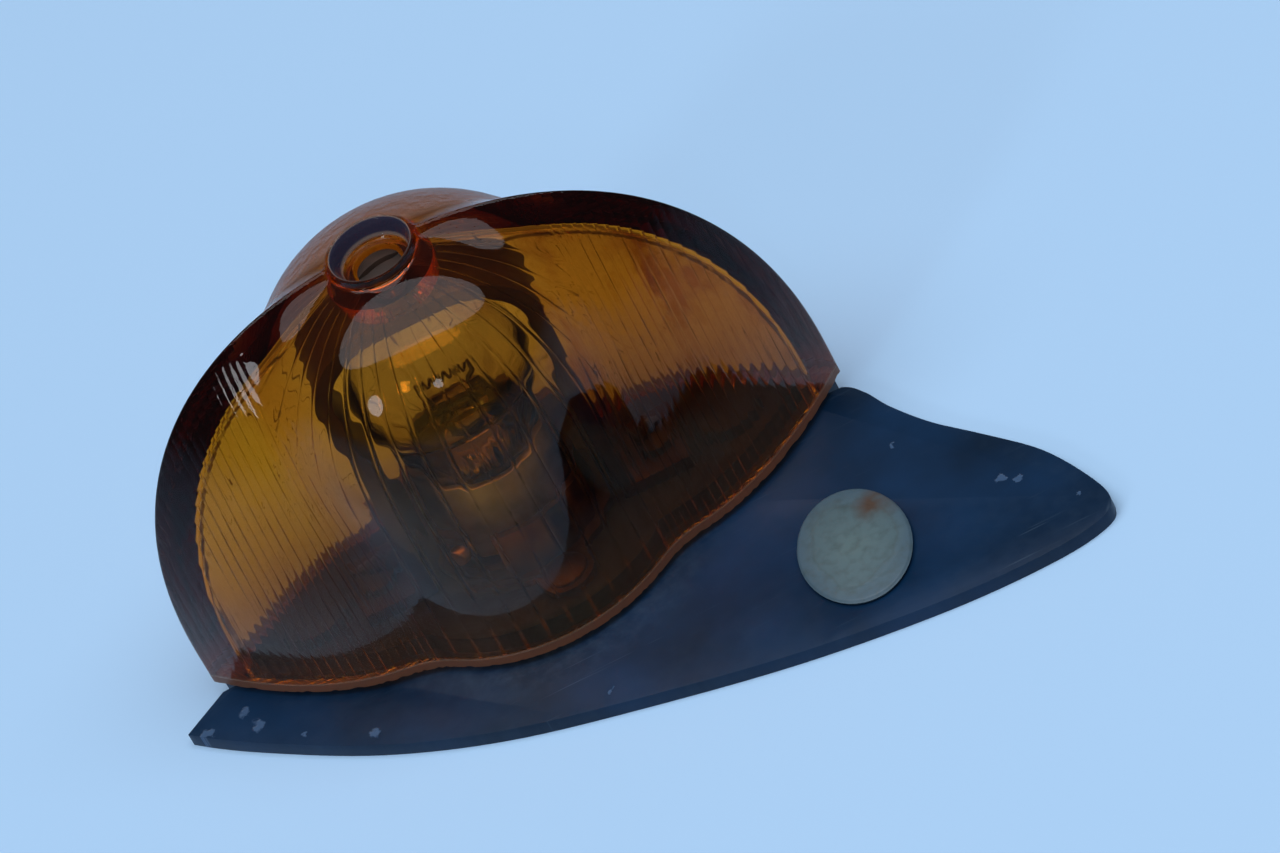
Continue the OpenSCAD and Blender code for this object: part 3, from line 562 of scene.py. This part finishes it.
def plate_paint():
    """Blue-black enamel sprayed on steel: satin, with dust ground in beside the lens, thin
    brushed scratches, a few chips down to the pale primer and slightly worn edges."""
    material, node = new_material("satin_black_enamel")
    place_of = node("TexCoord", output="Object")
    flat = node("VectorMath", [place_of, (1, 1, 0)], operation="MULTIPLY")
    clouds = node("TexNoise", {"Vector": place_of, "Scale": 70.0, "Detail": 6.0})
    tone = node("ValToRGB", [clouds],
                stops=[(0.3, "#03182c"), (0.5, "#06223d"), (0.72, "#0b2c4d")])
    # brown dust has settled on the plate inside the lens, in an oval
    settled = node("VectorMath", [flat, (0.56, 1.1, 0)], operation="MULTIPLY")
    settled = node("VectorMath", [settled], operation="LENGTH")
    settled = node("MapRange", [settled, 16.5 * MM, 15.0 * MM, 0.0, 0.35])

    # chips: ragged spots, which a noise of about 1 mm pulls out of round by up to 1.1 mm
    ragged = node("TexNoise", {"Vector": flat, "Scale": 1100.0, "Detail": 3.0}, output="Color")
    pull = 1.1 * MM
    pulled = node("VectorMath", [ragged, (2 * pull, 2 * pull, 0.0)], operation="MULTIPLY")
    pulled = node("VectorMath", [flat, pulled], operation="ADD")
    chipped = 0.0
    for x, y, r in CHIPS:
        away = node("VectorMath", [pulled, (x * MM + pull, y * MM + pull, 0)],
                    operation="DISTANCE")
        spot = node("MapRange", [away, 0.95 * r * MM, 0.6 * r * MM, 0.0, 0.85])
        chipped = node("Math", [spot, chipped], operation="MAXIMUM")

    # scratches, 0.3 mm wide and long in one direction, and dust close to the lens
    turned = node("Mapping", {"Vector": flat, "Rotation": (0, 0, 0.5),
                              "Scale": (90.0, 2600.0, 1.0)})
    brushed = node("TexNoise", {"Vector": turned, "Scale": 1.0, "Detail": 4.0})
    scratch = node("MapRange", [brushed, 0.66, 0.74, 0.0, 0.35])
    grit = node("TexNoise", {"Vector": flat, "Scale": 600.0, "Detail": 8.0, "Roughness": 0.65})
    grit = node("MapRange", [grit, 0.4, 0.75])
    from_axis = node("VectorMath", [flat], operation="LENGTH")
    close = node("MapRange", [from_axis, 23.5 * MM, 19.5 * MM, 0.0, 0.3])
    speck = node("MapRange", [clouds, 0.72, 0.8, 0.0, 0.5])
    # edges that stand out are worn
    edge = node("NewGeometry", output="Pointiness")
    worn = node("MapRange", [edge, 0.52, 0.6, 0.0, 0.5])
    dusty = node("Math", [node("Math", [close, worn], operation="MAXIMUM"), grit],
                 operation="MULTIPLY")
    for other in (scratch, speck):
        dusty = node("Math", [dusty, other], operation="MAXIMUM")

    colour = tone
    for mask, tint in ((settled, "#453c33"), (dusty, "#3f5368"), (chipped, "#3d5676")):
        colour = node("Mix", {"Factor": mask, "A": colour, "B": linear(tint)}, data_type="RGBA")
    height = node("Math", [chipped, -0.06, node("Math", [grit, 0.006], operation="MULTIPLY")],
                  operation="MULTIPLY_ADD")
    skin = node("BsdfPrincipled", {
        "Base Color": colour, "IOR": 1.5, "Specular IOR Level": 0.25,
        "Roughness": node("Math", [dusty, 0.3, 0.36], operation="MULTIPLY_ADD"),
        "Normal": node("Bump", {"Strength": 1.0, "Distance": MM, "Height": height})})
    node("OutputMaterial", {"Surface": skin})
    return material


def plug_nylon():
    """Natural nylon, moulded and aged: dull grey-green, yellower in the middle, with a faint
    ring from the mould whose groove carries a line of painted shade, a rust stain at one side
    and dirt in its pores."""
    material, node = new_material("aged_nylon")
    place_of = node("TexCoord", output="Object")
    # 0 at the plug's centre and 1 at its edge
    centred = node("Mapping", {
        "Vector": place_of, "Location": (-PLUG_X / PLUG_HALF_X, -PLUG_Y / PLUG_HALF_Y, 0.0),
        "Scale": (1 / (PLUG_HALF_X * MM), 1 / (PLUG_HALF_Y * MM), 0.0)})
    out_share = node("VectorMath", [centred], operation="LENGTH")
    wobble = node("TexNoise", {"Vector": place_of, "Scale": 260.0, "Detail": 5.0})
    share = node("Math", [out_share, 0.25], operation="SUBTRACT")
    share = node("Math", [wobble, 0.5, share], operation="MULTIPLY_ADD")
    # the tone darkens a little towards the edge, and its dark band near 0.72 is painted shade
    # along the mould ring's groove
    tone = node("ValToRGB", [share],
                stops=[(0.0, "#54696c"), (0.45, "#4f646a"), (0.68, "#4b6067"), (0.72, "#47595f"),
                       (0.76, "#4a5f69"), (0.95, "#435967")])
    # pores of about 1 mm, coarser than the real ones, which would not show
    pores = node("TexNoise", {"Vector": place_of, "Scale": 900.0, "Detail": 6.0})
    dirt = node("MapRange", [pores, 0.45, 0.75, 0.0, 0.6])
    away = node("VectorMath", [place_of, [mm * MM for mm in RUST_AT]], operation="DISTANCE")
    rust = node("Math", [node("MapRange", [away, 3.0 * MM, 1.2 * MM]),
                         node("MapRange", [wobble, 0.3, 0.55])], operation="MULTIPLY")
    colour = tone
    for mask, tint in ((dirt, "#3c4a4b"), (rust, "#4a3a30")):
        colour = node("Mix", {"Factor": mask, "A": colour, "B": linear(tint)}, data_type="RGBA")
    # the mould's ring is a shallow groove
    off_ring = node("Math", [out_share, 0.74], operation="SUBTRACT")
    groove = node("MapRange", [node("Math", [off_ring], operation="ABSOLUTE"), 0.04, 0.0])
    height = node("Math", [groove, -0.015, node("Math", [pores, 0.04], operation="MULTIPLY")],
                  operation="MULTIPLY_ADD")
    skin = node("BsdfPrincipled", {
        "Base Color": colour, "IOR": 1.53, "Specular IOR Level": 0.4, "Roughness": 0.5,
        "Normal": node("Bump", {"Strength": 1.0, "Distance": MM, "Height": height})})
    node("OutputMaterial", {"Surface": skin})
    return material


def make_stage():
    """A pale table, a soft sky that is brighter at the horizon, and the lamps."""
    bpy.ops.mesh.primitive_plane_add(size=3.0, location=(0, 0, 0))
    floor = bpy.context.object
    floor.name = "table"
    material, node = new_material("pale_table")
    skin = node("BsdfPrincipled", {"Base Color": linear("#adcff0"), "Roughness": 0.6,
                                   "Specular IOR Level": 0.2})
    node("OutputMaterial", {"Surface": skin})
    floor.data.materials.append(material)
    world = bpy.data.worlds.new("soft_sky")
    world.use_nodes = True
    sky = world.node_tree.nodes
    height = add(sky, "SeparateXYZ", [add(sky, "TexCoord", output="Generated")], output="Z")
    shade = add(sky, "ValToRGB", [add(sky, "MapRange", [height, 0.0, 0.15])],
                stops=[(0.0, "#9dbcdc"), (1.0, "#63676c")])
    world.node_tree.links.new(shade, sky["Background"].inputs["Color"])
    bpy.context.scene.world = world
    for name, place_at, width, depth, power in LAMPS:
        lamp = bpy.data.lights.new(name, "AREA")
        lamp.shape, lamp.size, lamp.size_y, lamp.energy = "ELLIPSE", width, depth, power
        lamp.color = LAMP_COLOUR
        box = bpy.data.objects.new(name, lamp)
        box.location = place_at
        aim = Vector(place_at) - Vector((0, 0, 0.03))
        box.rotation_euler = aim.to_track_quat("Z", "Y").to_euler()
        bpy.context.collection.objects.link(box)


place_camera()
make_stage()
bpy.context.scene.view_settings.view_transform = "Standard"
place(make_lens(), "lens_unit", amber_acrylic(), "lens")

# Name, darker and paler tone, roughness and metallic
PLAIN_FINISHES = [
    # turned brass with a thin brown skin: a warm dull yellow
    ("aged_brass", "#7d6a35", "#b79a55", 0.38, 1.0),
    # brass that has gone brown all over: hardly shines
    ("tarnished_brass", "#3b3120", "#5f5030", 0.5, 0.8),
    # oiled and blackened screws: nearly black, with soft lights
    ("blackened_steel", "#1d1b1a", "#35302c", 0.5, 0.5),
    # a rusty screw head: matt and dark red-brown
    ("rusted_steel", "#1b0f09", "#382115", 0.7, 0.1),
    # moulded rubber: matt, nearly black
    ("gasket_rubber", "#0f1114", "#1b1d21", 0.7, 0.0),
    # paper and resin pressed to a sheet: even mid brown
    ("brown_laminate", "#4d2a18", "#6d4126", 0.5, 0.0),
    # drawn spring wire: pale grey and fairly bright
    ("spring_bronze", "#8f8a80", "#b0aaa0", 0.3, 1.0),
    # the glassy insulator of a bulb's cap: black and glossy
    ("black_vitrite", "#0b0b0d", "#151518", 0.15, 0.0),
    # tin plate and solder: dull silver
    ("tinned_solder", "#8d8d8b", "#b5b5b2", 0.35, 1.0),
    # strip steel browned by heat and damp: dark, with weak lights
    ("dull_brown_steel", "#2a1d16", "#3d2a20", 0.5, 0.4),
    # nickel and tungsten wire: dark grey metal
    ("nickel_wire", "#5c5c5e", "#86868a", 0.3, 1.0),
]
finishes = {row[0]: plain_finish(*row) for row in PLAIN_FINISHES}
finishes.update(enamel=plate_paint(), nylon=plug_nylon(), glass=clear_glass())

# CAD node, name, body, material slot, finish and edge radius in mm
PIECES = [
    ("base_plate", "painted_plate", "base", "base_paint", "enamel", 0.25),
    ("hole_plug", "oval_plug", "base", "plug_nylon", "nylon", 0.45),
    ("lens_gasket", "rubber_gasket", "base", "gasket_rubber", "gasket_rubber", 0.12),
    ("bridge_bracket", "bridge_strip", "base", "bridge_steel", "dull_brown_steel", 0.2),
    ("bridge_screws", "bridge_fixing_screws", "base", "screw_steel", "blackened_steel", 0.12),
    ("holder_shell", "bulb_holder", "base", "holder_brass", "tarnished_brass", 0.1),
    ("holder_insulator", "holder_disc", "base", "laminate", "brown_laminate", 0.1),
    ("holder_rivets", "holder_fixing_rivets", "base", "rivet_brass", "tarnished_brass", 0.12),
    ("earth_tag", "earth_solder_tag", "base", "rivet_brass", "aged_brass", 0.05),
    ("lens_screw", "lens_fixing_screw", "screw_unit", "screw_steel", "rusted_steel", 0.12),
    ("screw_washer", "fibre_washer", "screw_unit", "washer_fibre", "brown_laminate", 0.05),
    ("contact_plunger", "spring_contact", "contact_unit", "rivet_brass", "aged_brass", 0.08),
    ("contact_tag", "contact_solder_tag", "contact_unit", "rivet_brass", "aged_brass", 0.05),
    ("contact_spring", "conical_spring", "base", "spring_steel", "spring_bronze", 0),
    ("bulb_glass", "bulb_envelope", "bulb_unit", "bulb_glass", "glass", 0),
    ("bulb_cap", "bayonet_cap", "bulb_unit", "cap_metal", "tinned_solder", 0.1),
    ("bulb_pins", "bayonet_pins", "bulb_unit", "cap_metal", "aged_brass", 0.1),
    ("bulb_insulator", "cap_vitrite", "bulb_unit", "vitrite", "black_vitrite", 0.1),
    ("bulb_contact", "cap_contact", "bulb_unit", "solder", "tinned_solder", 0.1),
    ("bulb_stem", "stem_glass", "bulb_unit", "bulb_glass", "glass", 0),
    ("bulb_supports", "support_wires", "bulb_unit", "lead_wire", "nickel_wire", 0),
    ("bulb_filament", "tungsten_coil", "bulb_unit", "tungsten", "nickel_wire", 0),
]
for node, name, body, slot, finish, edge in PIECES:
    place(refined(node, name, edge), body, finishes[finish], node)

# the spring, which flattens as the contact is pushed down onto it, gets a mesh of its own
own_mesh(bpy.data.objects["conical_spring"])

bpy.context.view_layer.update()
